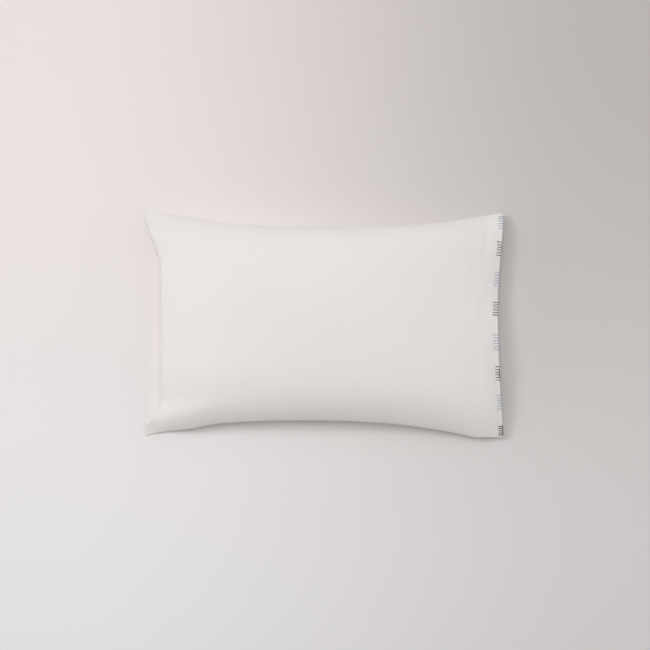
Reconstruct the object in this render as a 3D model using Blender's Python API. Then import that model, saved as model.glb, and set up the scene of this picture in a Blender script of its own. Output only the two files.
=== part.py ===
"""A filled pillowcase, lying on its back with its open end towards +X.

Units are metres and +Z is up. The case is one solid. Its cloth is a front and a back panel, sewn together
along the left end and both long sides, over a filling that gives it a crown, drawn-in sides and flat corners.
Past the filling the two layers run on as lips with a gap between them, which is the mouth.

Both panels are described over the same two shares: along runs from 0 at the left seam to 1 at the mouth's
edge, and across runs from -1 at the seam on the -Y side to 1 at the seam on the +Y side.
"""

from collections import namedtuple
import math

import bmesh
import bpy
import numpy as np

# Plan of the case as it lies, from seam corner to seam corner
LENGTH = 0.734
LEFT_WIDTH = 0.4685
MOUTH_WIDTH = 0.4568
MOUTH_SHIFT = -0.0065  # the mouth sits this far towards -Y
SIDE_DRAW_IN = 0.037  # how far the filling draws each long side in
LEFT_DRAW_IN = 0.0372
MOUTH_DRAW_IN = 0.0145
WIDEST_FILL = 0.45  # how far along the case the sides are drawn in most
SIDE_CURVE_LEFT = 2.5  # how the drawn-in sides run out to both ends, as powers
SIDE_CURVE_RIGHT = 2.3

# The flat corners of the left end, its ears: the distances from the corner over which the end turns in, how
# much of the end's bow lies there, how far from the corner the filling starts to raise the cloth, and the
# fullness of the long sides just past them
EAR_MINUS_Y = (0.018, 0.080)
EAR_PLUS_Y = (0.012, 0.125)
EAR_BOW_SHARE = 0.85
EAR_REACH = (-0.020, 0.060)
SHOULDER = 0.0042
SHOULDER_ALONG = 0.125
SHOULDER_HALF_LENGTH = 0.05

# Heights above the surface that the case lies on
CROWN_HEIGHT = 0.179  # of a fully filled case; this one's crown reaches 1 mm less
SEAM_HEIGHT = 0.072  # the side seams, halfway along
LEFT_SEAM_HEIGHT = 0.046
LEFT_CORNER_HEIGHT = 0.005
MOUTH_CORNER_HEIGHT = 0.030
SIDE_SEAM_RISE = (0.015, 0.24)  # the distances from a left corner over which each seam rises
SIDE_SEAM_RISE_CURVE = 0.7  # below 1, it rises fastest beside the corner
LEFT_SEAM_RISE_MINUS_Y = (0.0, 0.14)
LEFT_SEAM_RISE_PLUS_Y = (0.0, 0.17)
SEAM_FALL_CURVE = 2.2  # how the side seams come down to the mouth, as a power

# The cloth
SEAM_THICK = 0.0024  # two layers of cloth, seen edge on
LIP_THICK = 0.0025
CLOTH_COLOUR = (0.80, 0.785, 0.755, 1.0)
CLOTH_ROUGHNESS = 0.9

# The filling swells each panel up from its seams. Towards each seam the panel comes down as a slope with a
# curve and a power: a lower power gives a squarer shoulder.
Swell = namedtuple("Swell", "level_start level_end reach_minus_y reach_plus_y left right minus_y plus_y")
Slope = namedtuple("Slope", "curve power")
FRONT_SWELL = Swell(
    level_start=0.50,
    level_end=0.41,
    reach_minus_y=0.995,
    reach_plus_y=0.988,
    left=Slope(1.88, 0.61),
    right=Slope(2.24, 1.19),
    minus_y=Slope(5.00, 0.72),
    plus_y=Slope(1.95, 0.515),
)
BACK_SWELL = Swell(
    level_start=0.44,
    level_end=0.48,
    reach_minus_y=0.925,
    reach_plus_y=0.985,
    left=Slope(2.25, 0.60),
    right=Slope(2.25, 0.60),
    minus_y=Slope(2.25, 0.50),
    plus_y=Slope(2.25, 0.50),
)
UNDERSIDE_FULLNESS = 1.35  # over 1, so the underside lies flat on the surface
UNDERSIDE_ROUNDING = 1.5

# The mouth's recess
FILL_END_PLUS_Y = 0.985
FILL_END_MINUS_Y = 0.925
FUSED_STATIONS = 3  # the lips are sewn together over this many stations at each side
RECESS_STEPS = 8
RECESS_BEHIND_FILL = 0.02  # the recess ends this share of the length behind the filling's edge
FILL_END_BULGE = 0.012
FILL_END_POINTS = 5

STATIONS_ALONG = 46
STATIONS_ACROSS = 34
SHARP_EDGE_DEGREES = 50

# The height of each lip's outer face at the mouth's edge, across the case
LipPoint = namedtuple("LipPoint", "across front back")
LIP_HEIGHTS = (
    LipPoint(-1.00, MOUTH_CORNER_HEIGHT, MOUTH_CORNER_HEIGHT),
    LipPoint(-0.80, 0.054, 0.017),
    LipPoint(-0.45, 0.069, 0.008),
    LipPoint(-0.10, 0.068, 0.007),
    LipPoint(0.22, 0.056, 0.007),
    LipPoint(0.45, 0.058, 0.008),
    LipPoint(0.72, 0.064, 0.012),
    LipPoint(0.92, 0.049, 0.022),
    LipPoint(1.00, MOUTH_CORNER_HEIGHT, MOUTH_CORNER_HEIGHT),
)
LIP_SHARE_CURVE = 4  # how quickly the lips' heights fade away from the mouth, as powers
LEFT_SHARE_CURVE = 3  # and the left seam's height away from the left end

# Soft ridges and troughs in the front panel, each a line from one place to another that fades at both ends
Fold = namedtuple("Fold", "along_0 across_0 along_1 across_1 height half_width")
FOLDS = (
    Fold(0.985, 0.92, 0.940, 0.10, 0.0062, 0.012),
    Fold(0.945, 0.80, 0.915, 0.20, -0.0040, 0.016),
    Fold(0.925, -0.20, 0.905, -0.92, -0.0030, 0.012),
    Fold(1.020, 0.05, 1.020, -0.85, 0.0048, 0.030),
)
FOLD_END_SHARE = 0.12  # how much of a fold's fading lies past its ends
FOLD_SEAM_MARGIN = 0.1  # folds sink away over this share of the half width beside each side seam


def remove_everything():
    for item in list(bpy.data.objects):
        bpy.data.objects.remove(item)


def cloth_material():
    material = bpy.data.materials.new("white_cotton")
    material.use_nodes = True
    shader = material.node_tree.nodes["Principled BSDF"]
    shader.inputs["Base Color"].default_value = CLOTH_COLOUR
    shader.inputs["Roughness"].default_value = CLOTH_ROUGHNESS
    shader.inputs["Metallic"].default_value = 0.0
    return material


def smooth_table(places, values, at):
    """A smooth curve through a short table, with no overshoot of its end slopes."""
    slopes = np.gradient(values, places)
    k = np.clip(np.searchsorted(places, at) - 1, 0, len(places) - 2)
    gap = places[k + 1] - places[k]
    t = (at - places[k]) / gap
    return (
        values[k] * (1 + 2 * t) * (1 - t) ** 2
        + slopes[k] * gap * t * (1 - t) ** 2
        + values[k + 1] * t * t * (3 - 2 * t)
        + slopes[k + 1] * gap * t * t * (t - 1)
    )


def ease(value, span):
    """A smooth step from 0 at the start of a span to 1 at its end."""
    start, end = span
    t = np.clip((value - start) / (end - start), 0, 1)
    return t * t * (3 - 2 * t)


def lip_height(across, side):
    """The outer face of the front or the back lip at the mouth's edge."""
    places = np.array([point.across for point in LIP_HEIGHTS])
    heights = np.array([getattr(point, side) for point in LIP_HEIGHTS])
    return smooth_table(places, heights, across)


def fill_end(across):
    """How far along the case the filling reaches."""
    return FILL_END_MINUS_Y + (FILL_END_PLUS_Y - FILL_END_MINUS_Y) * (across + 1) / 2


def before_and_after(along, start, end, last):
    """Shares that grow from 0 at start to 1 at the left seam, and from 0 at end to 1 at last."""
    before = np.clip((start - along) / start, 0, 1)
    after = np.clip((along - end) / (last - end), 0, 1)
    return before, after


def from_side_seam(across):
    """How far a place is from the nearer long seam, at the left end's width."""
    return (1 - np.abs(across)) * LEFT_WIDTH / 2


def side_bow(along, across):
    """1 where a side seam is furthest in and 0 at its ends."""
    before, after = before_and_after(along, WIDEST_FILL, WIDEST_FILL, fill_end(across))
    return 1 - before**SIDE_CURVE_LEFT - after**SIDE_CURVE_RIGHT


def left_bow(across):
    """1 where the left seam is furthest in and 0 at its two corners, with a blunt ear at each."""
    away = from_side_seam(across)
    ears = np.where(across < 0, ease(away, EAR_MINUS_Y), ease(away, EAR_PLUS_Y))
    return EAR_BOW_SHARE * ears + (1 - EAR_BOW_SHARE) * (1 - across**2)


def plan(along, across):
    """Where a place on either panel is, seen from above."""
    half_width = (LEFT_WIDTH + (MOUTH_WIDTH - LEFT_WIDTH) * along) / 2
    half_width = half_width - SIDE_DRAW_IN * side_bow(along, np.sign(across))
    from_shoulder = (along - SHOULDER_ALONG) / SHOULDER_HALF_LENGTH
    half_width = half_width + SHOULDER * np.exp(-(from_shoulder**2))
    y = across * half_width + MOUTH_SHIFT * along
    left = -LENGTH / 2 + LEFT_DRAW_IN * left_bow(across)
    right = LENGTH / 2 - MOUTH_DRAW_IN * (1 - across**2)
    return left + (right - left) * along, y


def edge_height(along, across, side):
    """The height of the seams and lips, carried smoothly into the panel."""
    rise = SEAM_HEIGHT - LEFT_CORNER_HEIGHT
    fall = SEAM_HEIGHT - MOUTH_CORNER_HEIGHT
    _, after = before_and_after(along, WIDEST_FILL, WIDEST_FILL, fill_end(0))
    start, end = SIDE_SEAM_RISE
    passed = np.clip((along * LENGTH - start) / (end - start), 0, 1) ** SIDE_SEAM_RISE_CURVE
    height = LEFT_CORNER_HEIGHT + rise * ease(passed, (0, 1)) - fall * after**SEAM_FALL_CURVE
    away = from_side_seam(across)
    left_rise = np.where(across < 0, ease(away, LEFT_SEAM_RISE_MINUS_Y), ease(away, LEFT_SEAM_RISE_PLUS_Y))
    at_left = (LEFT_SEAM_HEIGHT - LEFT_CORNER_HEIGHT) * left_rise * (1 - along) ** LEFT_SHARE_CURVE
    at_mouth = (lip_height(across, side) - MOUTH_CORNER_HEIGHT) * along**LIP_SHARE_CURVE
    return height + at_left + at_mouth


def slope_down(place, slope):
    """1 at place 0, rounded off to 0 at place 1."""
    return (1 - place**slope.curve) ** slope.power


def filled(along, across, swell):
    """How full the case is: 0 at the seams and past the filling, 1 under the crown."""
    reach = swell.reach_minus_y + (swell.reach_plus_y - swell.reach_minus_y) * (across + 1) / 2
    before, after = before_and_after(along / reach, swell.level_start, swell.level_end, 1)
    lengthways = slope_down(before, swell.left) * slope_down(after, swell.right)
    away = np.abs(across)
    sideways = np.where(across < 0, slope_down(away, swell.minus_y), slope_down(away, swell.plus_y))
    from_corner = np.hypot(along * LENGTH, from_side_seam(across))
    return lengthways * sideways * ease(from_corner, EAR_REACH)


def fold_height(along, across):
    """The height that the soft folds add to the front panel."""
    total = 0
    here = np.stack([along * LENGTH, across * MOUTH_WIDTH / 2], axis=-1)
    for fold in FOLDS:
        start = np.array([fold.along_0 * LENGTH, fold.across_0 * MOUTH_WIDTH / 2])
        end = np.array([fold.along_1 * LENGTH, fold.across_1 * MOUTH_WIDTH / 2])
        share = np.clip((here - start) @ (end - start) / ((end - start) @ (end - start)), 0, 1)
        away = here - start - share[..., None] * (end - start)
        profile = np.exp(-np.sum(away**2, axis=-1) / fold.half_width**2)
        fade = np.sin(math.pi * (FOLD_END_SHARE + (1 - 2 * FOLD_END_SHARE) * share))
        total = total + fold.height * fade * profile
    return total * np.clip((1 - np.abs(across)) / FOLD_SEAM_MARGIN, 0, 1)


def front_height(along, across):
    edge = edge_height(along, across, "front")
    crown = (CROWN_HEIGHT - SEAM_THICK / 2 - edge) * filled(along, across, FRONT_SWELL)
    return edge + crown + fold_height(along, across) + SEAM_THICK / 2


def back_height(along, across):
    edge = edge_height(along, across, "back")
    pressed = np.minimum(UNDERSIDE_FULLNESS * filled(along, across, BACK_SWELL), 1)
    return (edge - SEAM_THICK / 2) * (1 - pressed) ** UNDERSIDE_ROUNDING


def spread_stations(count):
    """Shares from 0 to 1, closer together at both ends."""
    return (1 - np.cos(np.linspace(0, math.pi, count + 1))) / 2


def stations():
    """Both shares over the panels, a row for each place along. One row follows the recess's inner end."""
    even, across = np.meshgrid(
        spread_stations(STATIONS_ALONG), 2 * spread_stations(STATIONS_ACROSS) - 1, indexing="ij"
    )
    even_end = even[-1 - RECESS_STEPS]
    end = fill_end(across) - RECESS_BEHIND_FILL
    beyond = 1 - (1 - even) * (1 - end) / (1 - even_end)
    return np.where(even < even_end, even * end / even_end, beyond), across


def panel_points(height, along, across):
    x, y = plan(along, across)
    return np.stack([x, y, height(along, across)], axis=-1)


def recess_chains(front, back):
    """Across the mouth, rows of points from the front lip's edge to the filling and out to the back lip's."""
    inside = np.s_[: -2 - RECESS_STEPS : -1, FUSED_STATIONS + 1 : -FUSED_STATIONS - 1]
    slope = np.gradient(front[..., 2], axis=0) / np.gradient(front[..., 0], axis=0)
    upper = front[inside].copy()
    upper[..., 2] -= LIP_THICK * np.hypot(1, slope[inside])
    lower = back[inside].copy()
    lower[..., 2] += LIP_THICK
    down = np.linspace(0, 1, FILL_END_POINTS + 2)[1:-1, None, None]
    end = upper[-1] + down * (lower[-1] - upper[-1])
    end[..., 0] += FILL_END_BULGE * np.sin(math.pi * down[..., 0]) ** 2
    return np.concatenate([upper, end, lower[::-1]]).swapaxes(0, 1)


def add_points(mesh, points):
    """Vertices for an array of points, in lists of the same layout."""
    if points.ndim == 1:
        return mesh.verts.new(points)
    return [add_points(mesh, row) for row in points]


def add_strip(mesh, first, second):
    """Faces between two rows of vertices of the same length."""
    for a, b, c, d in zip(first, first[1:], second[1:], second):
        mesh.faces.new((a, b, c, d))


def build_case():
    """The filled case as one closed mesh: two panels, the seams' edge, the lips' rim and the recess."""
    mesh = bmesh.new()
    along, across = stations()
    front_points = panel_points(front_height, along, across)
    back_points = panel_points(back_height, along, across)
    front = add_points(mesh, front_points)
    back = add_points(mesh, back_points)
    for panel in (front, back):
        for row, after in zip(panel, panel[1:]):
            add_strip(mesh, row, after)
    add_strip(mesh, front[0], back[0])
    for edge in (0, -1):
        add_strip(mesh, [row[edge] for row in front], [row[edge] for row in back])

    chains = add_points(mesh, recess_chains(front_points, back_points))
    for chain, after in zip(chains, chains[1:]):
        add_strip(mesh, chain, after)
    front_lip, back_lip = front[-1], back[-1]
    for chain, fused, free in (
        (chains[0], FUSED_STATIONS, FUSED_STATIONS + 1),
        (chains[-1], -FUSED_STATIONS - 1, -FUSED_STATIONS - 2),
    ):
        mesh.faces.new(chain)
        lips = (front_lip[fused], front_lip[free], chain[0], chain[-1], back_lip[free], back_lip[fused])
        mesh.faces.new(lips)
    for lip, end in ((front_lip, 0), (back_lip, -1)):
        free_lip = lip[FUSED_STATIONS + 1 : -FUSED_STATIONS - 1]
        add_strip(mesh, free_lip, [chain[end] for chain in chains])
    for fused in (np.s_[: FUSED_STATIONS + 1], np.s_[-FUSED_STATIONS - 1 :]):
        add_strip(mesh, front_lip[fused], back_lip[fused])

    bmesh.ops.recalc_face_normals(mesh, faces=mesh.faces)
    return mesh


def centre_on_surface(mesh):
    """Moves the case so that its box's middle is over the origin and its underside is at zero."""
    points = np.array([vertex.co for vertex in mesh.verts])
    low = points.min(axis=0)
    high = points.max(axis=0)
    shift = (-(low[0] + high[0]) / 2, -(low[1] + high[1]) / 2, -low[2])
    bmesh.ops.translate(mesh, verts=mesh.verts, vec=shift)


def main():
    remove_everything()
    mesh = build_case()
    centre_on_surface(mesh)
    data = bpy.data.meshes.new("filled_case")
    mesh.to_mesh(data)
    mesh.free()
    data.shade_smooth()
    data.set_sharp_from_angle(angle=math.radians(SHARP_EDGE_DEGREES))
    data.materials.append(cloth_material())
    case = bpy.data.objects.new("filled_case", data)
    bpy.context.scene.collection.objects.link(case)


main()
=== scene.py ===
# A filled white pillowcase with coloured stitches over its open end, seen from straight above.
# The case is worked out over two shares: along, from the left seam to the mouth, and across, from the
# -Y seam to the +Y seam. Lengths are in metres.
import math

import bmesh
import bpy
import numpy as np
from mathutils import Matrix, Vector


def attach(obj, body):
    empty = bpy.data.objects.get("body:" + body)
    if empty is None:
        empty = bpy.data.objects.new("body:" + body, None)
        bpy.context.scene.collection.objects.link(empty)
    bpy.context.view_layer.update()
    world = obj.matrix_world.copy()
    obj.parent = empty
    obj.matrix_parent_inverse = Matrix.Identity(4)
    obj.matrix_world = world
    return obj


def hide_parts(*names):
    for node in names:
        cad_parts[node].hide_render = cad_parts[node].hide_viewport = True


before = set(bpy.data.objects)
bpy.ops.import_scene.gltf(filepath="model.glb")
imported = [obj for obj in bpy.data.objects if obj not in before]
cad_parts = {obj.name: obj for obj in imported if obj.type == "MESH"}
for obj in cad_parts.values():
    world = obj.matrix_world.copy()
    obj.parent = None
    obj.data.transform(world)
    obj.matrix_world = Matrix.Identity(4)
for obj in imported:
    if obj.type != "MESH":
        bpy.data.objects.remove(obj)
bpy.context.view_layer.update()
scene = bpy.context.scene
print("frame loaded, nodes:", len(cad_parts))

caseValues = {
    "length": 0.734,
    "leftWidth": 0.4685,
    "mouthWidth": 0.4568,
    "mouthShift": -0.0065,
    "middleShift": 0.0003,
    "middle": 0.45,  # where along the case its sides are drawn in most
    "sideDrawIn": 0.037,
    "sideCurves": (2.5, 2.3),  # how late the sides spread again, to the left and to the mouth
    "leftDrawIn": 0.0372,
    "mouthDrawIn": 0.0145,
    "earShoulder": (0.0042, 0.125, 0.05),  # size, place along, half width
    # distances from a left corner: where the filling starts to show and where it's full, then for each
    # corner where the left seam starts and ends its drawing in, and the share that isn't a plain bow
    "earReach": (-0.02, 0.06),
    "earPlusY": (0.012, 0.125),
    "earMinusY": (0.018, 0.080),
    "earShare": 0.85,
    "crownHeight": 0.179,
    "seamHeight": 0.072,
    "leftCornerHeight": 0.005,
    "mouthCornerHeight": 0.030,
    "sideSeamRise": (0.015, 0.24),  # from the left end, where the long seams start and end their rise
    "sideSeamCurve": 0.7,  # below 1, the seams rise fastest beside the corners
    "sideSeamFall": 2.2,  # how late the seams fall towards the mouth
    "leftSeamHeight": 0.046,
    "leftSeamRiseMinusY": (0.0, 0.14),
    "leftSeamRisePlusY": (0.0, 0.17),
    "leftSeamFade": 3,  # how soon the left seam's height and the lips' heights fade along the case
    "lipFade": 4,
    "seamThick": 0.0018,
    "lipThick": 0.0017,
    "fillEndPlusY": 0.985,
    "fillEndMinusY": 0.925,
    "undersideFullness": 1.35,
    "undersideCurve": 1.5,  # how soon the underside rises past the part that is pressed flat
    "hemFromMouth": 0.066,
    "rowGap": 0.0072,
    "columnGap": 0.0068,
    "edgeRows": (0.003, 0.008),  # extra rows of points at these distances from each edge
    "rowRoom": 0.55,  # an even row stays this share of a gap away from them
    "fineSteps": 3000,  # for measuring the cloth's length
}

# How each panel swells up from its seams: where the slopes to the left and to the right start, how far
# the filling holds it up beside each long seam, and a curve and a power for each side
frontSwell = {
    "start": 0.50,
    "end": 0.41,
    "reachMinusY": 0.995,
    "reachPlusY": 0.988,
    "left": (1.88, 0.61),
    "right": (2.24, 1.19),
    "minusY": (5.00, 0.72),
    "plusY": (1.95, 0.515),
}
backSwell = {
    "start": 0.44,
    "end": 0.48,
    "reachMinusY": 0.925,
    "reachPlusY": 0.985,
    "left": (2.25, 0.60),
    "right": (2.25, 0.60),
    "minusY": (2.25, 0.50),
    "plusY": (2.25, 0.50),
}

# The height of each lip's outer face at the mouth: across, front, back
lipHeights = (
    (-1.00, 0.030, 0.030),
    (-0.80, 0.054, 0.017),
    (-0.45, 0.069, 0.008),
    (-0.10, 0.068, 0.007),
    (0.22, 0.056, 0.007),
    (0.45, 0.058, 0.008),
    (0.72, 0.064, 0.012),
    (0.92, 0.049, 0.022),
    (1.00, 0.030, 0.030),
)

# Soft ridges and troughs in the front: along and across where each starts and ends, height, half width
creases = (
    (0.985, 0.92, 0.940, 0.10, 0.0062, 0.012),
    (0.945, 0.80, 0.915, 0.20, -0.0040, 0.016),
    (0.925, -0.20, 0.905, -0.92, -0.0030, 0.012),
    (1.020, 0.05, 1.020, -0.85, 0.0048, 0.030),
)
cornerPuckers = (
    (0.940, 0.985, 0.936, 0.90, 0.0012, 0.0030),
    (0.928, 0.990, 0.924, 0.89, 0.0014, 0.0030),
    (0.916, 0.990, 0.911, 0.90, 0.0011, 0.0032),
)

simValues = {
    "pressure": 3.0,
    "frames": 20,
    "mostMove": 0.006,
    "cutLength": 0.75,
    "cutWidth": 0.50,
    "heldBySeam": 0.003,
    "freeFromSeam": 0.006,
    "heldByMouth": 0.030,
    "freeFromMouth": 0.060,
    "quality": 8,
    "mass": 0.15,
    "airDamping": 2,
    "stretchStiffness": 20,
    "shearStiffness": 5,
    "bendStiffness": 0.5,
}

detailValues = {
    "seamGroove": 0.0010,
    "seamGroovePlace": (0.0048, 0.0026),  # from the seam, half width
    "puckerHeight": 0.0007,
    "puckerReach": 0.016,
    "puckerStart": 0.004,
    "puckerWaves": (0.009, 0.0125, 0.016),
    "puckerDrift": 0.03,
    "puckerBlend": 0.02,
    "hemStep": 0.0005,
    "hemStepWidth": 0.003,
    "hemGroove": 0.0002,
    "hemGrooveWidth": 0.0022,
    "hemRow": 0.0022,  # from the hem's fold to its row of stitches
    "closedGap": 0.0012,  # layers that are closer than this have no relief
    "openGap": 0.008,  # and this much further apart they have all of it
    "creaseLow": 0.12,  # each crease leaves out this share of a half wave at both ends
    "creaseFade": 0.1,  # creases and puckers fade over this share beside the long seams
    "cornerPuckerFade": 0.02,
    "rimPoints": 3,
    "recessRows": 12,
    "recessBehindFill": 0.02,
    "lipShare": 0.42,  # no lip is thicker than this share of the gap between the layers
    "fillEndPoints": 5,
    "fillEndBulge": 0.012,
    "fillEndShare": 0.4,
    "rimOnCloth": 0.002,  # places on the flat cloth for the weave, past the mouth
    "fillEndOnCloth": 0.08,
    "seed": 4,
}


def smoothThrough(places, values, at):
    slopes = np.gradient(values, places)
    k = np.clip(np.searchsorted(places, at) - 1, 0, len(places) - 2)
    gap = places[k + 1] - places[k]
    t = (at - places[k]) / gap
    return (
        values[k] * (1 + 2 * t) * (1 - t) ** 2
        + slopes[k] * gap * t * (1 - t) ** 2
        + values[k + 1] * t * t * (3 - 2 * t)
        + slopes[k + 1] * gap * t * t * (t - 1)
    )


def easeIn(value, low, high):
    t = np.clip((value - low) / (high - low), 0, 1)
    return t * t * (3 - 2 * t)


def hump(away, halfWidth):
    return np.exp(-((away / halfWidth) ** 2))


def lipHeight(across, side):
    table = np.array(lipHeights)
    return smoothThrough(table[:, 0], table[:, 1 if side == "front" else 2], across)


def fillEnd(across):
    low, high = caseValues["fillEndMinusY"], caseValues["fillEndPlusY"]
    return low + (high - low) * (across + 1) / 2


def fromCorner(across):
    # How far a point of the left seam is from its nearer corner
    return (1 - np.abs(across)) * caseValues["leftWidth"] / 2


def beforeAndAfter(along, start, end, last):
    before = np.clip((start - along) / start, 0, 1)
    after = np.clip((along - end) / (last - end), 0, 1)
    return before, after


def plan(along, across):
    v = caseValues
    before, after = beforeAndAfter(along, v["middle"], v["middle"], fillEnd(np.sign(across)))
    leftCurve, mouthCurve = v["sideCurves"]
    shoulder, place, spread = v["earShoulder"]
    halfWidth = (v["leftWidth"] + (v["mouthWidth"] - v["leftWidth"]) * along) / 2
    halfWidth = halfWidth - v["sideDrawIn"] * (1 - before**leftCurve - after**mouthCurve)
    halfWidth = halfWidth + shoulder * hump(along - place, spread)
    y = across * halfWidth + v["mouthShift"] * along + v["middleShift"]
    corner = fromCorner(across)
    drawn = np.where(across < 0, easeIn(corner, *v["earMinusY"]), easeIn(corner, *v["earPlusY"]))
    drawn = v["earShare"] * drawn + (1 - v["earShare"]) * (1 - across**2)
    left = -v["length"] / 2 + v["leftDrawIn"] * drawn
    right = v["length"] / 2 - v["mouthDrawIn"] * (1 - across**2)
    return left + (right - left) * along, y


def edgeHeight(along, across, side):
    v = caseValues
    rise = v["seamHeight"] - v["leftCornerHeight"]
    fall = v["seamHeight"] - v["mouthCornerHeight"]
    _, after = beforeAndAfter(along, v["middle"], v["middle"], fillEnd(0))
    start, end = v["sideSeamRise"]
    passed = np.clip((along * v["length"] - start) / (end - start), 0, 1) ** v["sideSeamCurve"]
    height = v["leftCornerHeight"] + rise * easeIn(passed, 0, 1) - fall * after ** v["sideSeamFall"]
    corner = fromCorner(across)
    minusY, plusY = easeIn(corner, *v["leftSeamRiseMinusY"]), easeIn(corner, *v["leftSeamRisePlusY"])
    risen = np.where(across < 0, minusY, plusY) * (1 - along) ** v["leftSeamFade"]
    atLeft = (v["leftSeamHeight"] - v["leftCornerHeight"]) * risen
    atMouth = (lipHeight(across, side) - v["mouthCornerHeight"]) * along ** v["lipFade"]
    return height + atLeft + atMouth


def earFlatness(along, across):
    # 0 in the flat, empty corners at the left end, 1 where the filling reaches
    away = np.hypot(along * caseValues["length"], fromCorner(across))
    return easeIn(away, *caseValues["earReach"])


def filled(along, across, swell):
    reach = swell["reachMinusY"] + (swell["reachPlusY"] - swell["reachMinusY"]) * (across + 1) / 2
    before, after = beforeAndAfter(along / reach, swell["start"], swell["end"], 1)
    aside = np.abs(across)
    shares = []
    for side, place in (("left", before), ("right", after), ("minusY", aside), ("plusY", aside)):
        curve, power = swell[side]
        shares.append((1 - place**curve) ** power)
    left, right, minusY, plusY = shares
    return left * right * np.where(across < 0, minusY, plusY) * earFlatness(along, across)


def frontHeight(along, across):
    v = caseValues
    edge = edgeHeight(along, across, "front")
    crown = (v["crownHeight"] - v["seamThick"] / 2 - edge) * filled(along, across, frontSwell)
    return edge + crown + v["seamThick"] / 2


def backHeight(along, across):
    v = caseValues
    edge = edgeHeight(along, across, "back")
    pressed = np.minimum(v["undersideFullness"] * filled(along, across, backSwell), 1)
    return (edge - v["seamThick"] / 2) * (1 - pressed) ** v["undersideCurve"]


def panel(height, along, across):
    x, y = plan(along, across)
    return np.stack([x, y, height(along, across)], axis=-1)


def evenShares(lengths, places, gap, extras):
    # Shares at an even cloth distance along a measured line, with extra ones where they are asked for
    total = lengths[-1]
    room = caseValues["rowRoom"] * gap
    even = np.linspace(0, total, int(round(total / gap)) + 1)
    even = [d for d in even if min(abs(d - e) for e in extras) > room or d in (0, total)]
    wanted = np.unique(np.concatenate([even, extras, [0, total]]))
    return np.interp(wanted, lengths, places)


def clothLengths(points):
    steps = np.linalg.norm(np.diff(points, axis=0), axis=-1)
    return np.concatenate([[0], np.cumsum(steps)])


def caseStations():
    # The shares of the case's rows and columns, and where each of them lies on the flat cloth
    v = caseValues
    near, far = v["edgeRows"]
    hem, step = v["hemFromMouth"], detailValues["hemStepWidth"]
    fine = np.linspace(0, 1, v["fineSteps"] + 1)
    fromMouth = clothLengths(panel(frontHeight, 1 - fine, np.zeros_like(fine)))
    alongs = 1 - evenShares(fromMouth, fine, v["rowGap"], [near, far, hem - step, hem, hem + step])
    alongs = np.sort(alongs)
    alongCut = 1 - np.interp(1 - alongs, fine, fromMouth / fromMouth[-1])
    fine = np.linspace(-1, 1, 2 * v["fineSteps"] + 1)
    fromSeam = clothLengths(panel(frontHeight, np.full_like(fine, v["middle"]), fine))
    end = fromSeam[-1]
    acrosses = evenShares(fromSeam, fine, v["columnGap"], [near, far, end - far, end - near])
    acrossCut = np.interp(acrosses, fine, fromSeam / end) - 0.5
    return alongs, acrosses, alongCut, acrossCut


def withMiddles(values, axis=0):
    # A grid with a value put between each two, on a smooth curve through its neighbours
    values = np.moveaxis(np.asarray(values, float), axis, 0)
    middles = (values[:-1] + values[1:]) / 2
    middles[1:-1] = (9 * (values[1:-2] + values[2:-1]) - values[:-3] - values[3:]) / 16
    out = np.empty((len(values) * 2 - 1,) + values.shape[1:])
    out[::2] = values
    out[1::2] = middles
    return np.moveaxis(out, 0, axis)


def gridNormals(points):
    normals = np.cross(np.gradient(points, axis=0), np.gradient(points, axis=1))
    return normals / np.maximum(np.linalg.norm(normals, axis=-1, keepdims=True), 1e-12)


def fromEdges(points):
    # The cloth distance from the nearer side seam, from the left seam and from the mouth, over a panel
    steps = np.linalg.norm(np.diff(points, axis=1), axis=-1)
    run = np.concatenate([np.zeros((len(points), 1)), np.cumsum(steps, axis=1)], axis=1)
    side = np.minimum(run, run[:, -1:] - run)
    steps = np.linalg.norm(np.diff(points, axis=0), axis=-1)
    length = np.concatenate([np.zeros((1, points.shape[1])), np.cumsum(steps, axis=0)], axis=0)
    return side, length, length[-1:] - length


def gridFaces(ids):
    corners = [ids[:-1, :-1], ids[1:, :-1], ids[1:, 1:], ids[:-1, 1:]]
    return np.stack(corners, axis=2).reshape(-1, 4).tolist()


def turnOutward(mesh):
    turned = bmesh.new()
    turned.from_mesh(mesh)
    bmesh.ops.recalc_face_normals(turned, faces=turned.faces)
    turned.to_mesh(mesh)
    turned.free()


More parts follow.
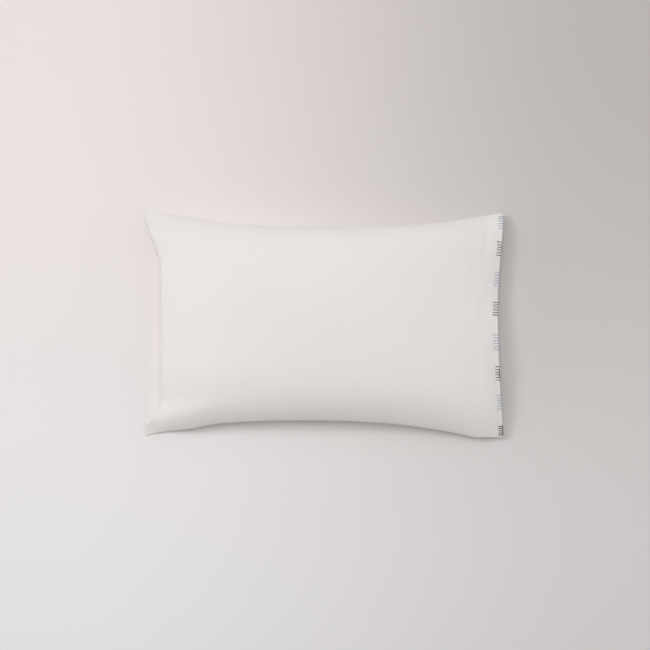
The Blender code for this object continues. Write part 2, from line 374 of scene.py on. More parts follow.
def inflated(front, back, flatFront, flatBack):
    # A coarse copy of the case, blown up as cloth that is held at its seams and lips, to see how far
    # each point moves
    s = simValues
    mesh = bpy.data.meshes.new("clothTrial")
    ids = np.arange(2 * front[..., 0].size).reshape((2,) + front.shape[:2])
    top, bottom = ids
    faces = gridFaces(top) + gridFaces(bottom[:, ::-1])
    for rim in (np.s_[0, :], np.s_[::-1, 0], np.s_[-1, ::-1], np.s_[:, -1]):
        faces += gridFaces(np.stack([top[rim], bottom[rim]]))
    points = np.concatenate([front.reshape(-1, 3), back.reshape(-1, 3)])
    flat = np.concatenate([flatFront.reshape(-1, 3), flatBack.reshape(-1, 3)])
    mesh.from_pydata(points.tolist(), [], faces)
    turnOutward(mesh)
    trial = bpy.data.objects.new("clothTrial", mesh)
    scene.collection.objects.link(trial)

    side, left, mouth = fromEdges(front)
    near = (side < s["heldBySeam"]) | (left < s["heldBySeam"]) | (mouth < s["heldByMouth"])
    held = trial.vertex_groups.new(name="held")
    held.add(ids[:, near].ravel().tolist(), 1.0, "REPLACE")
    trial.shape_key_add(name="Basis")
    cut = trial.shape_key_add(name="clothCut")
    cut.data.foreach_set("co", flat.astype(np.float32).ravel())
    cut.value = 0

    cloth = trial.modifiers.new("Cloth", "CLOTH")
    cloth.settings.quality = s["quality"]
    cloth.settings.mass = s["mass"]
    cloth.settings.air_damping = s["airDamping"]
    cloth.settings.tension_stiffness = s["stretchStiffness"]
    cloth.settings.compression_stiffness = s["stretchStiffness"]
    cloth.settings.shear_stiffness = s["shearStiffness"]
    cloth.settings.bending_stiffness = s["bendStiffness"]
    cloth.settings.use_pressure = True
    cloth.settings.uniform_pressure_force = s["pressure"]
    cloth.settings.vertex_group_mass = "held"
    cloth.settings.rest_shape_key = cut
    cloth.settings.effector_weights.gravity = 0
    cloth.collision_settings.use_collision = False
    cloth.point_cache.frame_start, cloth.point_cache.frame_end = 1, s["frames"]
    for step in range(1, s["frames"] + 1):
        scene.frame_set(step)
    done = trial.evaluated_get(bpy.context.evaluated_depsgraph_get())
    after = np.empty(points.size, np.float32)
    done.data.vertices.foreach_get("co", after)
    moved = (after.reshape(-1, 3) - points).reshape((2,) + front.shape)
    bpy.data.objects.remove(trial)
    scene.frame_set(1)

    length = np.linalg.norm(moved, axis=-1, keepdims=True)
    most, mean = round(float(length.max()), 4), round(float(length.mean()), 4)
    print("cloth moved", most, "m at most,", mean, "on average")
    moved = moved * s["mostMove"] * np.tanh(length / s["mostMove"]) / np.maximum(length, 1e-9)
    free = easeIn(side, 0, s["freeFromSeam"]) * easeIn(left, 0, s["freeFromSeam"])
    free = free * easeIn(mouth, s["heldByMouth"], s["freeFromMouth"])
    return moved * free[..., None]


def reliefAt(along, across, table):
    # Soft ridges and troughs, strongest halfway along each
    v, low = caseValues, detailValues["creaseLow"]
    total = 0
    here = np.stack([along * v["length"], across * v["mouthWidth"] / 2], axis=-1)
    for along0, across0, along1, across1, height, halfWidth in table:
        start = np.array([along0 * v["length"], across0 * v["mouthWidth"] / 2])
        way = np.array([along1 * v["length"], across1 * v["mouthWidth"] / 2]) - start
        share = np.clip((here - start) @ way / (way @ way), 0, 1)
        away = np.linalg.norm(here - start - share[..., None] * way, axis=-1)
        strength = np.sin(math.pi * (low + (1 - 2 * low) * share))
        total = total + height * strength * hump(away, halfWidth)
    return total


def puckerWave(run, rng):
    # An uneven ripple along a seam
    d = detailValues
    total = 0
    for wavelength in d["puckerWaves"]:
        phase, drift = rng.random(), rng.random()
        turns = run / wavelength + phase
        total = total + np.sin(2 * math.pi * turns + drift * np.sin(run / d["puckerDrift"]))
    return total / 2


def withRelief(points, side, along, across, gap, clothRun, rng):
    # The seams' grooves and puckers and the hem's doubled cloth, raised from a panel along its normals
    d, hem = detailValues, caseValues["hemFromMouth"]
    outward = gridNormals(points) * (1 if side == "front" else -1)
    fromSide, fromLeft, fromMouth = fromEdges(points)
    fromSeam = np.minimum(fromSide, fromLeft)
    room = np.clip((gap - d["closedGap"]) / d["openGap"], 0, 1)
    place, halfWidth = d["seamGroovePlace"]
    total = -d["seamGroove"] * hump(fromSeam - place, halfWidth) * room

    fade = np.exp(-fromSeam / d["puckerReach"]) * easeIn(fromSeam, 0, d["puckerStart"]) * room
    alongWave, acrossWave = (puckerWave(run, rng) for run in clothRun)
    alongWave = alongWave * easeIn(fromLeft - fromSide, 0, d["puckerBlend"])
    acrossWave = acrossWave * easeIn(fromSide - fromLeft, 0, d["puckerBlend"])
    total = total + d["puckerHeight"] * fade * np.where(fromSide < fromLeft, alongWave, acrossWave)

    total = total + d["hemStep"] * (1 - easeIn(fromMouth, hem, hem + d["hemStepWidth"])) * room
    total = total - d["hemGroove"] * hump(fromMouth - hem + d["hemRow"], d["hemGrooveWidth"]) * room
    if side == "front":
        aside = 1 - np.abs(across)
        total = total + reliefAt(along, across, creases) * np.clip(aside / d["creaseFade"], 0, 1)
        fade = np.clip(aside / d["cornerPuckerFade"], 0, 1)
        total = total + reliefAt(along, across, cornerPuckers) * fade
    points = points + outward * total[..., None]
    points[..., 2] = np.maximum(points[..., 2], 0)
    return points


def rowsAt(points, alongs, wanted):
    # A panel's points at other shares along, column by column
    out = np.empty(wanted.shape + (points.shape[-1],))
    for column in range(points.shape[1]):
        for axis in range(points.shape[-1]):
            out[:, column, axis] = np.interp(wanted[:, column], alongs, points[:, column, axis])
    return out


def rimRows(outer, inner):
    # Rows of points that round a lip's edge from its outer face to its inner one
    outward = outer[-1] - outer[-2]
    outward /= np.linalg.norm(outward, axis=-1, keepdims=True)
    middle, half = (outer[-1] + inner[0]) / 2, (outer[-1] - inner[0]) / 2
    radius = np.linalg.norm(half, axis=-1, keepdims=True)
    turn = np.linspace(0, math.pi, detailValues["rimPoints"] + 2)[1:-1, None, None]
    return middle + half * np.cos(turn) + outward * radius * np.sin(turn)


class Patchwork:
    # Points and faces of one mesh, with each point's place on the flat cloth
    def __init__(self):
        self.points, self.faces, self.places = [], [], []

    def add(self, points, places):
        first = len(self.points)
        self.points += points.reshape(-1, 3).tolist()
        self.places += places.reshape(-1, 2).tolist()
        return first + np.arange(points[..., 0].size).reshape(points.shape[:-1])

    def join(self, *rows):
        self.faces += gridFaces(np.stack(rows))

    def piece(self, name, material):
        mesh = bpy.data.meshes.new(name)
        mesh.from_pydata(self.points, [], self.faces)
        turnOutward(mesh)
        corners = np.empty(len(mesh.loops), np.int32)
        mesh.loops.foreach_get("vertex_index", corners)
        layer = mesh.uv_layers.new(name="clothCut")
        layer.data.foreach_set("uv", np.array(self.places, np.float32)[corners].ravel())
        mesh.materials.append(material)
        mesh.shade_smooth()
        made = bpy.data.objects.new(name, mesh)
        scene.collection.objects.link(made)
        return made


def onFlatCloth(alongCut, acrossCut):
    s = simValues
    places = np.meshgrid(alongCut * s["cutLength"], acrossCut * s["cutWidth"], indexing="ij")
    return np.stack(places, axis=-1)


def caseSurfaces():
    # The outer faces of both panels on a fine grid, after the cloth is blown up and its details raised
    rng = np.random.default_rng(detailValues["seed"])
    alongs, acrosses, alongCut, acrossCut = caseStations()
    along, across = np.meshgrid(alongs, acrosses, indexing="ij")
    front, back = panel(frontHeight, along, across), panel(backHeight, along, across)
    flat = onFlatCloth(alongCut, acrossCut)
    half = np.full(flat.shape[:2] + (1,), caseValues["seamThick"] / 2)
    layers = [np.concatenate([flat, height], axis=-1) for height in (half, -half)]
    moved = inflated(front, back, *layers)

    alongs, acrosses = withMiddles(alongs), withMiddles(acrosses)
    along, across = np.meshgrid(alongs, acrosses, indexing="ij")
    moved = [withMiddles(withMiddles(move, 0), 1) for move in moved]
    front = panel(frontHeight, along, across) + moved[0]
    back = panel(backHeight, along, across) + moved[1]
    gap = np.linalg.norm(front - back, axis=-1)
    places = onFlatCloth(withMiddles(alongCut), withMiddles(acrossCut))
    runs = places[..., 0], places[..., 1]
    front = withRelief(front, "front", along, across, gap, runs, rng)
    back = withRelief(back, "back", along, across, gap, runs, rng)
    return front, back, alongs, acrosses, places


def buildCase(front, back, alongs, acrosses, places, material):
    d = detailValues
    work = Patchwork()
    top = work.add(front, places)
    bottom = work.add(back, places + (0, 1))
    work.faces += gridFaces(top) + gridFaces(bottom)
    for rim in (np.s_[0, :], np.s_[:, 0], np.s_[:, -1]):
        work.join(top[rim], bottom[rim])

    share = np.linspace(0, 1, d["recessRows"])[:, None]
    wanted = 1 - share * (1 - fillEnd(acrosses) + d["recessBehindFill"])
    layers = (front, gridNormals(front), places), (back, -gridNormals(back), places)
    upper, lower = (rowsAt(np.concatenate(layer, axis=-1), alongs, wanted) for layer in layers)
    gap = np.linalg.norm(upper[..., :3] - lower[..., :3], axis=-1, keepdims=True)
    thick = np.minimum(caseValues["lipThick"], d["lipShare"] * gap)
    upperInner = upper[..., :3] - upper[..., 3:6] * thick
    lowerInner = lower[..., :3] - lower[..., 3:6] * thick
    down = np.linspace(0, 1, d["fillEndPoints"] + 2)[1:-1, None, None]
    end = upperInner[-1] + down * (lowerInner[-1] - upperInner[-1])
    room = gap[-1, :, 0] - 2 * thick[-1, :, 0]
    bulge = np.minimum(d["fillEndBulge"], d["fillEndShare"] * room)
    end[..., 0] += bulge * np.sin(math.pi * down[..., 0]) ** 2
    topRim, bottomRim = rimRows(front, upperInner), rimRows(back, lowerInner)

    edge = places[-1]
    turnedIn = 2 * (edge[0, 0] + d["rimOnCloth"])
    rimPlaces = np.broadcast_to(edge + (d["rimOnCloth"], 0), topRim.shape[:2] + (2,))
    topRimIds = work.add(topRim, rimPlaces)
    upperIds = work.add(upperInner, upper[..., 6:8] * (-1, 1) + (turnedIn, 0))
    endIds = work.add(end, np.broadcast_to(edge + (d["fillEndOnCloth"], 0), end.shape[:2] + (2,)))
    lowerIds = work.add(lowerInner, lower[..., 6:8] * (-1, 1) + (turnedIn, 1))
    bottomRimIds = work.add(bottomRim, rimPlaces + (0, 1))
    work.join(top[-1], *topRimIds, *upperIds, *endIds, *lowerIds[::-1], *bottomRimIds[::-1], bottom[-1])
    for column in (0, -1):
        work.join(upperIds[:, column], lowerIds[:, column])
        fillEndRow = [upperIds[-1, column], *endIds[:, column], lowerIds[-1, column]]
        seamEnd = [top[-1, column], *topRimIds[:, column], upperIds[0, column]]
        seamEnd += [lowerIds[0, column], *bottomRimIds[::-1, column], bottom[-1, column]]
        work.faces += [[int(i) for i in row] for row in (fillEndRow, seamEnd)]
    return work.piece("case_cloth", material)


# The hand stitches over the mouth's edge. Each group gives its number of strokes, where across the
# mouth the first and the last one are, how far they lean, their length, their thread, and the gaps
# between strokes, first and last, where the thread also runs along the edge.
handStitches = {
    "threadRadius": {"blue": 0.00058, "dark": 0.00066},
    "twistTurns": 260.0,
    "segment": 0.0006,
    "insideLength": 0.0035,
    "lengthSpread": 0.07,
    "leanSpread": 3.0,
    "placeSpread": 0.0002,
    "strokeLift": (-0.6, 0.9),  # in thread radii, where a stroke comes up and over its length
    "strokeRise": 0.25,  # the share of its length in which it rises
    "strokePoints": 8,
    "edgePoints": 6,
    "edgeSpan": 0.002,  # the edge's direction is taken over this much cloth
    "insidePoints": 4,
    "insideLift": 0.8,
    "barPoints": 5,
    "barTurn": 0.7,  # radians from the front of the lip to the thread along its edge
    "barBow": 0.2,
    "seed": 11,
    "frontGroups": (
        (6, 0.968, 0.858, 0, 0.0090, "blue", None),
        (6, 0.7325, 0.6195, 11, 0.0082, "dark", None),
        (6, 0.467, 0.350, 4, 0.0085, "blue", None),
        (6, 0.204, 0.090, 3, 0.0098, "dark", None),
        (6, -0.085, -0.213, 0, 0.0100, "blue", None),
        (6, -0.363, -0.4825, 2, 0.0086, "dark", (1, 3)),
        (6, -0.613, -0.737, 0, 0.0088, "blue", None),
        (5, -0.893, -0.978, -4, 0.0092, "dark", (0, 3)),
    ),
    "backGroups": (
        (6, 0.975, 0.880, 8, 0.0100, "dark", None),
        (6, 0.735, 0.620, 0, 0.0095, "blue", None),
        (6, 0.475, 0.357, 10, 0.0100, "dark", (0, 4)),
        (6, 0.200, 0.086, 3, 0.0090, "blue", None),
        (6, -0.085, -0.210, 5, 0.0100, "dark", None),
        (6, -0.365, -0.488, 0, 0.0095, "blue", None),
        (6, -0.620, -0.744, 7, 0.0100, "dark", (1, 3)),
        (6, -0.880, -0.965, 0, 0.0092, "blue", None),
    ),
}

hemStitches = {
    "threadRadius": 0.00017,
    "twistTurns": 700.0,
    "segment": 0.0005,
    "pitch": 0.0027,
    "length": 0.0021,
    # each stitch's shares of its length, and how high its thread lies there, in thread radii
    "shares": (0, 0.22, 0.5, 0.78, 1),
    "lifts": (-0.8, 0.5, 0.8, 0.5, -0.8),
    "fromSeams": (0.002, 0.004),  # how far from the long seams the row starts and stops
    "measuredPoints": 1201,
    "seed": 1,
}

threadShape = {
    "profilePoints": 9,
    "lobes": 3,
    "lobeDepth": 0.16,
}


class ClothFace:
    # One panel's outer face, read at any share along and across
    def __init__(self, points, outward, alongs, acrosses):
        self.grids = np.concatenate([points, outward], axis=-1)
        self.alongs, self.acrosses = alongs, acrosses
        self.length = clothLengths(points[:, len(acrosses) // 2])[-1]
        self.halfWidth = caseValues["mouthWidth"] / 2

    def at(self, along, across):
        row = np.clip(np.searchsorted(self.alongs, along) - 1, 0, len(self.alongs) - 2)
        column = np.clip(np.searchsorted(self.acrosses, across) - 1, 0, len(self.acrosses) - 2)
        s = (along - self.alongs[row]) / (self.alongs[row + 1] - self.alongs[row])
        t = (across - self.acrosses[column]) / (self.acrosses[column + 1] - self.acrosses[column])
        g = self.grids
        low = g[row, column] * (1 - t) + g[row, column + 1] * t
        high = g[row + 1, column] * (1 - t) + g[row + 1, column + 1] * t
        mixed = low * (1 - s) + high * s
        return mixed[:3], mixed[3:] / np.linalg.norm(mixed[3:])

    def fromMouth(self, distance, across, sideways=0.0):
        along = 1 - distance / self.length
        return self.at(along, np.clip(across + sideways / self.halfWidth, -1, 1))

    def roundEdge(self, across, reach, turn):
        # A point around the middle of the lip's edge, turned from its outer face towards the inner one
        edge, outward = self.fromMouth(0, across)
        inside, _ = self.fromMouth(handStitches["edgeSpan"], across)
        beyond = (edge - inside) / np.linalg.norm(edge - inside)
        middle = edge - outward * caseValues["lipThick"] / 2
        return middle + reach * (outward * math.cos(turn) + beyond * math.sin(turn))


def strokePath(face, across, lean, length, radius):
    # One whip stitch: along the cloth to the edge, round it, and back on the inside
    h, thick = handStitches, caseValues["lipThick"]
    low, high = h["strokeLift"]
    path = []
    for share in np.linspace(0, 1, h["strokePoints"])[:-1]:
        distance = length * (1 - share)
        point, outward = face.fromMouth(distance * math.cos(lean), across, distance * math.sin(lean))
        risen = math.sin(math.pi / 2 * min(share / h["strokeRise"], 1))
        path.append(point + outward * radius * (low + (high - low) * risen))
    for turn in np.linspace(0, math.pi, h["edgePoints"]):
        path.append(face.roundEdge(across, thick / 2 + radius * high, turn))
    for distance in np.linspace(0, h["insideLength"], h["insidePoints"])[1:]:
        point, outward = face.fromMouth(distance, across)
        path.append(point - outward * (thick + radius * h["insideLift"]))
    return path


def edgeBar(face, across0, across1, radius):
    # The thread where it lies along the edge between two strokes
    h = handStitches
    reach = caseValues["lipThick"] / 2 + radius * h["insideLift"]
    path = []
    for share in np.linspace(0, 1, h["barPoints"]):
        turn = h["barTurn"] + h["barBow"] * math.sin(math.pi * share)
        path.append(face.roundEdge(across0 + (across1 - across0) * share, reach, turn))
    return path


def handStitchPaths(face, groups, colour, rng):
    h = handStitches
    radius = h["threadRadius"][colour]
    paths = []
    for strokes, first, last, lean, length, thread, gaps in groups:
        spread = rng.normal(size=(3, strokes))
        if thread != colour:
            continue
        places = np.linspace(first, last, strokes) + spread[0] * h["placeSpread"] / face.halfWidth
        leans = np.radians(lean + spread[1] * h["leanSpread"])
        lengths = length * (1 + spread[2] * h["lengthSpread"])
        for k, across in enumerate(places):
            paths.append(strokePath(face, across, leans[k], lengths[k], radius))
            if gaps and gaps[0] <= k <= gaps[1]:
                paths.append(edgeBar(face, across, places[k + 1], radius))
    return paths


def hemStitchPaths(face):
    s = hemStitches
    distance = caseValues["hemFromMouth"] - detailValues["hemRow"]
    acrosses = np.linspace(-1, 1, s["measuredPoints"])
    line = np.array([np.concatenate(face.fromMouth(distance, across)) for across in acrosses])
    run = clothLengths(line[:, :3])
    first, last = s["fromSeams"]
    lift = s["threadRadius"] * np.array(s["lifts"])
    paths = []
    for start in np.arange(first, run[-1] - last, s["pitch"]):
        places = start + s["length"] * np.array(s["shares"])
        here = np.stack([np.interp(places, run, line[:, axis]) for axis in range(6)], axis=-1)
        paths.append(here[:, :3] + here[:, 3:] * lift[:, None])
    return paths


def setInputs(tree, node, inputs):
    for socket, value in inputs.items():
        if isinstance(value, bpy.types.NodeSocket):
            tree.links.new(value, node.inputs[socket])
        else:
            node.inputs[socket].default_value = value


def addNode(tree, kind, inputs=None, **settings):
    made = tree.nodes.new(kind)
    for name, value in settings.items():
        setattr(made, name, value)
    setInputs(tree, made, inputs or {})
    return made


def addSockets(tree, inOut, sockets):
    for label, kind, value in sockets:
        socket = tree.interface.new_socket(label, in_out=inOut, socket_type="NodeSocket" + kind)
        if value is not None:
            socket.default_value = value


def mathNode(tree, operation, a, b=0.0):
    return addNode(tree, "ShaderNodeMath", {0: a, 1: b}, operation=operation).outputs[0]


def buildThreadTree():
    # Twisted thread along every path of the mesh that it is put on
    tree = bpy.data.node_groups.new("threadAlongPaths", "GeometryNodeTree")
    sockets = (
        ("Geometry", "Geometry", None),
        ("Thread Radius", "Float", 0.0006),
        ("Twist", "Float", 1600.0),
        ("Segment", "Float", 0.0006),
        ("Lobe Depth", "Float", 0.16),
        ("Profile Points", "Int", 9),
        ("Lobes", "Int", 3),
        ("Seed", "Int", 1),
        ("Material", "Material", None),
    )
    addSockets(tree, "INPUT", sockets)
    addSockets(tree, "OUTPUT", (("Geometry", "Geometry", None),))
    given = addNode(tree, "NodeGroupInput").outputs

    def make(kind, inputs=None, **settings):
        return addNode(tree, kind, inputs, **settings).outputs[0]

    curve = make("GeometryNodeMeshToCurve", {"Mesh": given["Geometry"]})
    smooth = make("GeometryNodeCurveSplineType", {"Curve": curve}, spline_type="CATMULL_ROM")
    lengths = {"Curve": smooth, "Length": given["Segment"]}
    even = make("GeometryNodeResampleCurve", lengths, mode="LENGTH")
    spline = addNode(tree, "GeometryNodeSplineParameter").outputs["Length"]
    whichPath = addNode(tree, "GeometryNodeCurveOfPoint").outputs["Curve Index"]
    chance = {3: math.tau, "ID": whichPath, "Seed": given["Seed"]}
    phase = addNode(tree, "FunctionNodeRandomValue", chance, data_type="FLOAT").outputs[1]
    turn = mathNode(tree, "ADD", mathNode(tree, "MULTIPLY", spline, given["Twist"]), phase)
    twisted = make("GeometryNodeSetCurveTilt", {"Curve": even, "Tilt": turn})

    ring = {"Resolution": given["Profile Points"], "Radius": given["Thread Radius"]}
    circle = make("GeometryNodeCurvePrimitiveCircle", ring)
    place = make("GeometryNodeInputPosition")
    split = addNode(tree, "ShaderNodeSeparateXYZ", {0: place}).outputs
    angle = mathNode(tree, "ARCTAN2", split[1], split[0])
    lobe = mathNode(tree, "COSINE", mathNode(tree, "MULTIPLY", angle, given["Lobes"]))
    swell = mathNode(tree, "ADD", mathNode(tree, "MULTIPLY", lobe, given["Lobe Depth"]), 1.0)
    moved = make("ShaderNodeVectorMath", {0: place, "Scale": swell}, operation="SCALE")
    profile = make("GeometryNodeSetPosition", {"Geometry": circle, "Position": moved})
    tubeParts = {"Curve": twisted, "Profile Curve": profile, "Fill Caps": True}
    tube = make("GeometryNodeCurveToMesh", tubeParts)
    rounded = make("GeometryNodeSetShadeSmooth", {"Geometry": tube})
    whole = make("GeometryNodeRealizeInstances", {"Geometry": rounded})
    finished = make("GeometryNodeSetMaterial", {"Geometry": whole, "Material": given["Material"]})
    addNode(tree, "NodeGroupOutput", {"Geometry": finished})
    return tree


def threadPiece(name, paths, values, radius, material, tree):
    points, edges = [], []
    for path in paths:
        first = len(points)
        points += [tuple(float(c) for c in point) for point in path]
        edges += [(first + k, first + k + 1) for k in range(len(path) - 1)]
    guide = bpy.data.meshes.new(name + "Paths")
    guide.from_pydata(points, edges, [])
    piece = bpy.data.objects.new(name, guide)
    scene.collection.objects.link(piece)
    sewn = piece.modifiers.new("thread", "NODES")
    sewn.node_group = tree
    given = {
        "Thread Radius": radius,
        "Twist": values["twistTurns"] * math.tau,
        "Segment": values["segment"],
        "Lobe Depth": threadShape["lobeDepth"],
        "Profile Points": threadShape["profilePoints"],
        "Lobes": threadShape["lobes"],
        "Seed": values["seed"],
        "Material": material,
    }
    for socket in tree.interface.items_tree:
        if socket.in_out == "INPUT" and socket.name in given:
            sewn[socket.identifier] = given[socket.name]
    done = piece.evaluated_get(bpy.context.evaluated_depsgraph_get())
    mesh = bpy.data.meshes.new_from_object(done)
    piece.modifiers.clear()
    turnOutward(mesh)
    mesh.name = name
    piece.data = mesh
    return piece


def newGroup(name, inputs, outputs):
    group = bpy.data.node_groups.new(name, "ShaderNodeTree")
    addSockets(group, "INPUT", inputs)
    addSockets(group, "OUTPUT", outputs)
    return group, addNode(group, "NodeGroupInput").outputs, addNode(group, "NodeGroupOutput")


def placeGroup(tree, group, inputs):
    return addNode(tree, "ShaderNodeGroup", inputs, node_tree=group).outputs


def buildWeaveGroup():
    # A plain weave: threads along both ways of the cloth, over and under each other, with thick and
    # thin places
    inputs = (
        ("Place", "Vector", None),
        ("Thread Spacing", "Float", 0.0004),
        ("Unevenness", "Float", 0.3),
    )
    outputs = ("Height", "Float", None), ("Slub", "Float", None)
    group, given, out = newGroup("plainWeave", inputs, outputs)
    split = addNode(group, "ShaderNodeSeparateXYZ", {0: given["Place"]}).outputs
    alongThread, acrossThread = 60.0, 900.0  # how often thick and thin places come in a metre
    slubs = []
    for stretch in ((alongThread, acrossThread, 1.0), (acrossThread, alongThread, 1.0)):
        ends = {0: given["Place"], 1: stretch}
        stretched = addNode(group, "ShaderNodeVectorMath", ends, operation="MULTIPLY").outputs[0]
        spots = {"Vector": stretched, "Scale": 1.0, "Detail": 2.0}
        noise = addNode(group, "ShaderNodeTexNoise", spots).outputs[0]
        slubs.append(mathNode(group, "SUBTRACT", noise, 0.5))
    waves = []
    for axis, slub in ((0, slubs[1]), (1, slubs[0])):
        turns = mathNode(group, "MULTIPLY", split[axis], math.pi)
        turns = mathNode(group, "DIVIDE", turns, given["Thread Spacing"])
        drift = mathNode(group, "MULTIPLY", slub, given["Unevenness"])
        waves.append(mathNode(group, "COSINE", mathNode(group, "ADD", turns, drift)))
    over = mathNode(group, "MULTIPLY", mathNode(group, "MULTIPLY", waves[0], waves[1]), 0.5)
    ridges = []
    for wave, sign in ((waves[1], 1.0), (waves[0], -1.0)):
        share = mathNode(group, "ADD", mathNode(group, "MULTIPLY", over, sign), 0.5)
        ridges.append(mathNode(group, "MULTIPLY", mathNode(group, "ABSOLUTE", wave), share))
    height = mathNode(group, "MAXIMUM", ridges[0], ridges[1])
    setInputs(group, out, {"Height": height, "Slub": mathNode(group, "ADD", slubs[0], slubs[1])})
    return group


def buildTintGroup():
    # A colour that drifts a little from place to place
    inputs = (
        ("Place", "Vector", None),
        ("Colour", "Color", (0.8, 0.8, 0.8, 1.0)),
        ("Scale", "Float", 10.0),
        ("Amount", "Float", 0.03),
        ("Detail Mask", "Float", 0.0),
    )
    outputs = ("Colour", "Color", None), ("Mask", "Float", None)
    group, given, out = newGroup("softTint", inputs, outputs)
    spots = {"Vector": given["Place"], "Scale": given["Scale"], "Detail": 4.0, "Roughness": 0.55}
    noise = addNode(group, "ShaderNodeTexNoise", spots).outputs[0]
    drift = mathNode(group, "ADD", mathNode(group, "SUBTRACT", noise, 0.5), given["Detail Mask"])
    value = mathNode(group, "ADD", mathNode(group, "MULTIPLY", drift, given["Amount"]), 1.0)
    tinted = addNode(group, "ShaderNodeHueSaturation", {"Color": given["Colour"], "Value": value})
    setInputs(group, out, {"Colour": tinted.outputs[0], "Mask": noise})
    return group


def newMaterial(name):
    material = bpy.data.materials.new(name)
    material.use_nodes = True
    tree = material.node_tree
    return material, tree, tree.nodes["Principled BSDF"]


cottonLook = {
    "colour": (0.80, 0.775, 0.755, 1.0),
    "tintScale": 7.0,
    "tintAmount": 0.03,
    "roughness": 0.88,
    "specular": 0.25,
    "sheen": 0.12,
    "sheenRoughness": 0.5,
    "threadSpacing": 0.00042,
    "weaveHeight": 0.00006,
    "creaseHeight": 0.0006,
    "creaseScale": 22.0,
    "creaseDetail": 3.0,
    "creaseDistortion": 0.6,
}


def cottonMaterial(weave, tint):
    look = cottonLook
    material, tree, shader = newMaterial("white_cotton_percale")
    cut = addNode(tree, "ShaderNodeUVMap", uv_map="clothCut").outputs[0]
    woven = placeGroup(tree, weave, {"Place": cut, "Thread Spacing": look["threadSpacing"]})
    place = addNode(tree, "ShaderNodeTexCoord").outputs["Object"]
    shades = {"Place": place, "Scale": look["tintScale"], "Amount": look["tintAmount"]}
    tinted = placeGroup(tree, tint, {**shades, "Colour": look["colour"], "Detail Mask": woven["Slub"]})
    folds = {"Vector": place, "Scale": look["creaseScale"], "Detail": look["creaseDetail"]}
    folds["Distortion"] = look["creaseDistortion"]
    soft = addNode(tree, "ShaderNodeTexNoise", folds).outputs[0]
    bumps = {"Height": soft, "Distance": look["creaseHeight"]}
    creased = addNode(tree, "ShaderNodeBump", bumps).outputs[0]
    threads = {"Height": woven["Height"], "Distance": look["weaveHeight"], "Normal": creased}
    surface = {
        "Base Color": tinted["Colour"],
        "Normal": addNode(tree, "ShaderNodeBump", threads).outputs[0],
        "Roughness": look["roughness"],
        "Specular IOR Level": look["specular"],
        "Sheen Weight": look["sheen"],
        "Sheen Roughness": look["sheenRoughness"],
    }
    setInputs(tree, shader, surface)
    return material


threadLooks = {
    "blue": {"colour": (0.300, 0.335, 0.530, 1.0), "roughness": 0.60, "sheen": 0.25},
    "dark": {"colour": (0.022, 0.019, 0.020, 1.0), "roughness": 0.62, "sheen": 0.15},
    "white": {"colour": (0.80, 0.785, 0.76, 1.0), "roughness": 0.70, "sheen": 0.15},
    "tintScale": 900.0,
    "tintAmount": 0.5,
    "fuzzHeight": 0.00012,
}


def threadMaterial(name, tint):
    look = threadLooks[name]
    material, tree, shader = newMaterial("cotton_thread_" + name)
    place = addNode(tree, "ShaderNodeTexCoord").outputs["Object"]
    shades = {"Place": place, "Scale": threadLooks["tintScale"], "Amount": threadLooks["tintAmount"]}
    tinted = placeGroup(tree, tint, {**shades, "Colour": look["colour"]})
    fuzz = {"Height": tinted["Mask"], "Distance": threadLooks["fuzzHeight"]}
    surface = {
        "Base Color": tinted["Colour"],
        "Normal": addNode(tree, "ShaderNodeBump", fuzz).outputs[0],
        "Roughness": look["roughness"],
        "Sheen Weight": look["sheen"],
    }
    setInputs(tree, shader, surface)
    return material


studio = {
    "cameraPlace": (0.0039, -0.0052, 3.0),
    "viewWidth": 1.343,
    "sensorWidth": 36.0,
    "skyColour": (1.0, 1.0, 1.0, 1.0),
    "skyStrength": 0.145,
    # pale walls low down: the axis they stand on, which way, and their strength
    "walls": ((0, -1.0, 2.93), (0, 1.0, 3.18), (1, 1.0, 0.20)),
    "wallFade": 3.0,
    "backdropStrength": 0.75,
    # each light's place, width and power
    "lights": {
        "overhead": ((0.0, 0.55, 3.2), 1.3, 29.6),
        "left": ((-1.3, 0.5, 2.9), 1.2, 29.5),
        "right": ((1.6, 1.2, 2.2), 1.0, 6.4),
    },
}

# The floor's pale pinkish grey is its own colour, but its change from light on the left to dark on the
# right and far side is painted light fall-off
floorLook = {
    "size": 14.0,
    "paintedFalloffReach": 0.62,  # how far from the middle the tones go on changing
    # the tones, far and near, on the left and on the right; their change across the floor is painted
    # light fall-off, lighter on the left and near side and darker towards the right and the far side
    "far": ((0.890, 0.812, 0.794, 1.0), (0.576, 0.540, 0.515, 1.0)),
    "near": ((0.915, 0.893, 0.894, 1.0), (0.780, 0.749, 0.744, 1.0)),
    "tintScale": 1.4,
    "tintAmount": 0.02,
    "roughness": 0.95,
    "specular": 0.1,
}


def buildCamera():
    camera = bpy.data.cameras.new("camera")
    camera.sensor_width = studio["sensorWidth"]
    camera.lens = studio["sensorWidth"] * studio["cameraPlace"][2] / studio["viewWidth"]
    eye = bpy.data.objects.new("camera", camera)
    eye.location = studio["cameraPlace"]
    scene.collection.objects.link(eye)
    scene.camera = eye


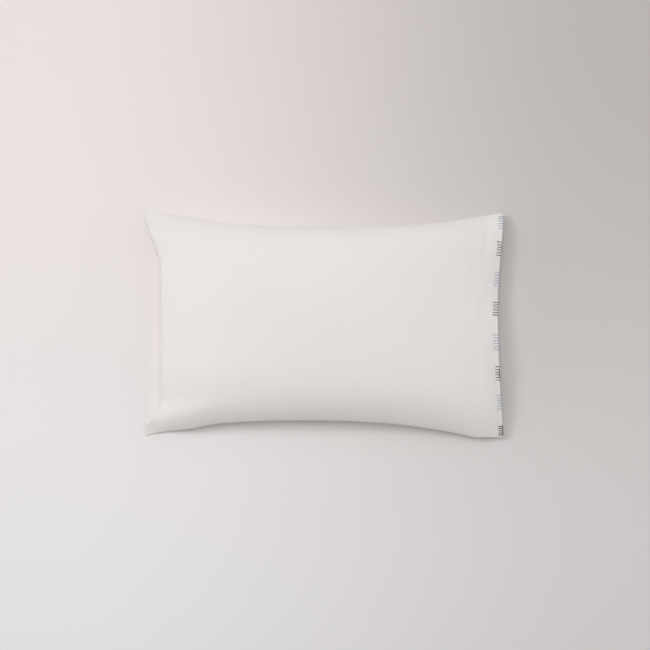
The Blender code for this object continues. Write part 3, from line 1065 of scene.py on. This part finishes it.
def buildSky():
    # A soft even sky with pale walls low down
    world = bpy.data.worlds.new("studio")
    world.use_nodes = True
    tree = world.node_tree
    direction = addNode(tree, "ShaderNodeTexCoord").outputs["Generated"]
    split = addNode(tree, "ShaderNodeSeparateXYZ", {0: direction}).outputs
    low = mathNode(tree, "SUBTRACT", 1.0, mathNode(tree, "MAXIMUM", split[2], 0.0))
    low = mathNode(tree, "POWER", low, studio["wallFade"])
    walls = 0.0
    for axis, way, strength in studio["walls"]:
        facing = mathNode(tree, "MAXIMUM", mathNode(tree, "MULTIPLY", split[axis], way), 0.0)
        walls = mathNode(tree, "ADD", walls, mathNode(tree, "MULTIPLY", facing, strength))
    glow = mathNode(tree, "ADD", mathNode(tree, "MULTIPLY", low, walls), studio["skyStrength"])
    seen = addNode(tree, "ShaderNodeLightPath").outputs["Is Camera Ray"]
    strength = addNode(tree, "ShaderNodeMix", {0: seen, 2: glow, 3: studio["backdropStrength"]})
    sky = {"Color": studio["skyColour"], "Strength": strength.outputs[0]}
    setInputs(tree, tree.nodes["Background"], sky)
    scene.world = world


def buildLights():
    for name, (place, width, power) in studio["lights"].items():
        light = bpy.data.lights.new(name, "AREA")
        light.shape = "DISK"
        light.size = width
        light.energy = power
        lamp = bpy.data.objects.new(name, light)
        lamp.location = place
        lamp.rotation_euler = (-Vector(place)).to_track_quat("-Z", "Y").to_euler()
        scene.collection.objects.link(lamp)


def floorMaterial(tint):
    look = floorLook
    material, tree, shader = newMaterial("pale_floor")
    place = addNode(tree, "ShaderNodeTexCoord").outputs["Object"]
    split = addNode(tree, "ShaderNodeSeparateXYZ", {0: place}).outputs
    # painted light fall-off: the floor's colour is mixed lighter to the left and near side, darker to
    # the right and the far side
    shares = []
    for axis, way in ((0, 1), (1, -1)):
        reach = way * look["paintedFalloffReach"]
        span = {"Value": split[axis], "From Min": -reach, "From Max": reach}
        made = addNode(tree, "ShaderNodeMapRange", span, interpolation_type="SMOOTHSTEP")
        shares.append(made.outputs[0])
    rows = []
    for left, right in (look["far"], look["near"]):
        row = addNode(tree, "ShaderNodeMix", data_type="RGBA")
        setInputs(tree, row, {0: shares[0], 6: left, 7: right})
        rows.append(row.outputs[2])
    tone = addNode(tree, "ShaderNodeMix", data_type="RGBA")
    setInputs(tree, tone, {0: shares[1], 6: rows[0], 7: rows[1]})
    shades = {"Place": place, "Scale": look["tintScale"], "Amount": look["tintAmount"]}
    tinted = placeGroup(tree, tint, {**shades, "Colour": tone.outputs[2]})
    surface = {
        "Base Color": tinted["Colour"],
        "Roughness": look["roughness"],
        "Specular IOR Level": look["specular"],
    }
    setInputs(tree, shader, surface)
    return material


def buildFloor(tint):
    half = floorLook["size"] / 2
    corners = [(-half, -half, 0), (half, -half, 0), (half, half, 0), (-half, half, 0)]
    mesh = bpy.data.meshes.new("floor")
    mesh.from_pydata(corners, [], [(0, 1, 2, 3)])
    mesh.materials.append(floorMaterial(tint))
    floor = bpy.data.objects.new("floor", mesh)
    scene.collection.objects.link(floor)
    return floor


scene.view_settings.view_transform = "Standard"
weaveGroup, tintGroup = buildWeaveGroup(), buildTintGroup()
buildCamera()
buildSky()
buildLights()
floor = buildFloor(tintGroup)
print("studio ready")

front, back, alongs, acrosses, places = caseSurfaces()
case = buildCase(front, back, alongs, acrosses, places, cottonMaterial(weaveGroup, tintGroup))
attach(case, "root")
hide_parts("filled_case")
print("case made")

rng = np.random.default_rng(handStitches["seed"])
frontFace = ClothFace(front, gridNormals(front), alongs, acrosses)
backFace = ClothFace(back, -gridNormals(back), alongs, acrosses)
threadTree = buildThreadTree()
for colour in ("blue", "dark"):
    paths = handStitchPaths(frontFace, handStitches["frontGroups"], colour, rng)
    paths += handStitchPaths(backFace, handStitches["backGroups"], colour, rng)
    radius, material = handStitches["threadRadius"][colour], threadMaterial(colour, tintGroup)
    stitches = threadPiece("mouth_stitches_" + colour, paths, handStitches, radius, material, threadTree)
    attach(stitches, "root")
paths = hemStitchPaths(frontFace) + hemStitchPaths(backFace)
radius, material = hemStitches["threadRadius"], threadMaterial("white", tintGroup)
hem = threadPiece("hem_stitches", paths, hemStitches, radius, material, threadTree)
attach(hem, "root")
print("stitches made")
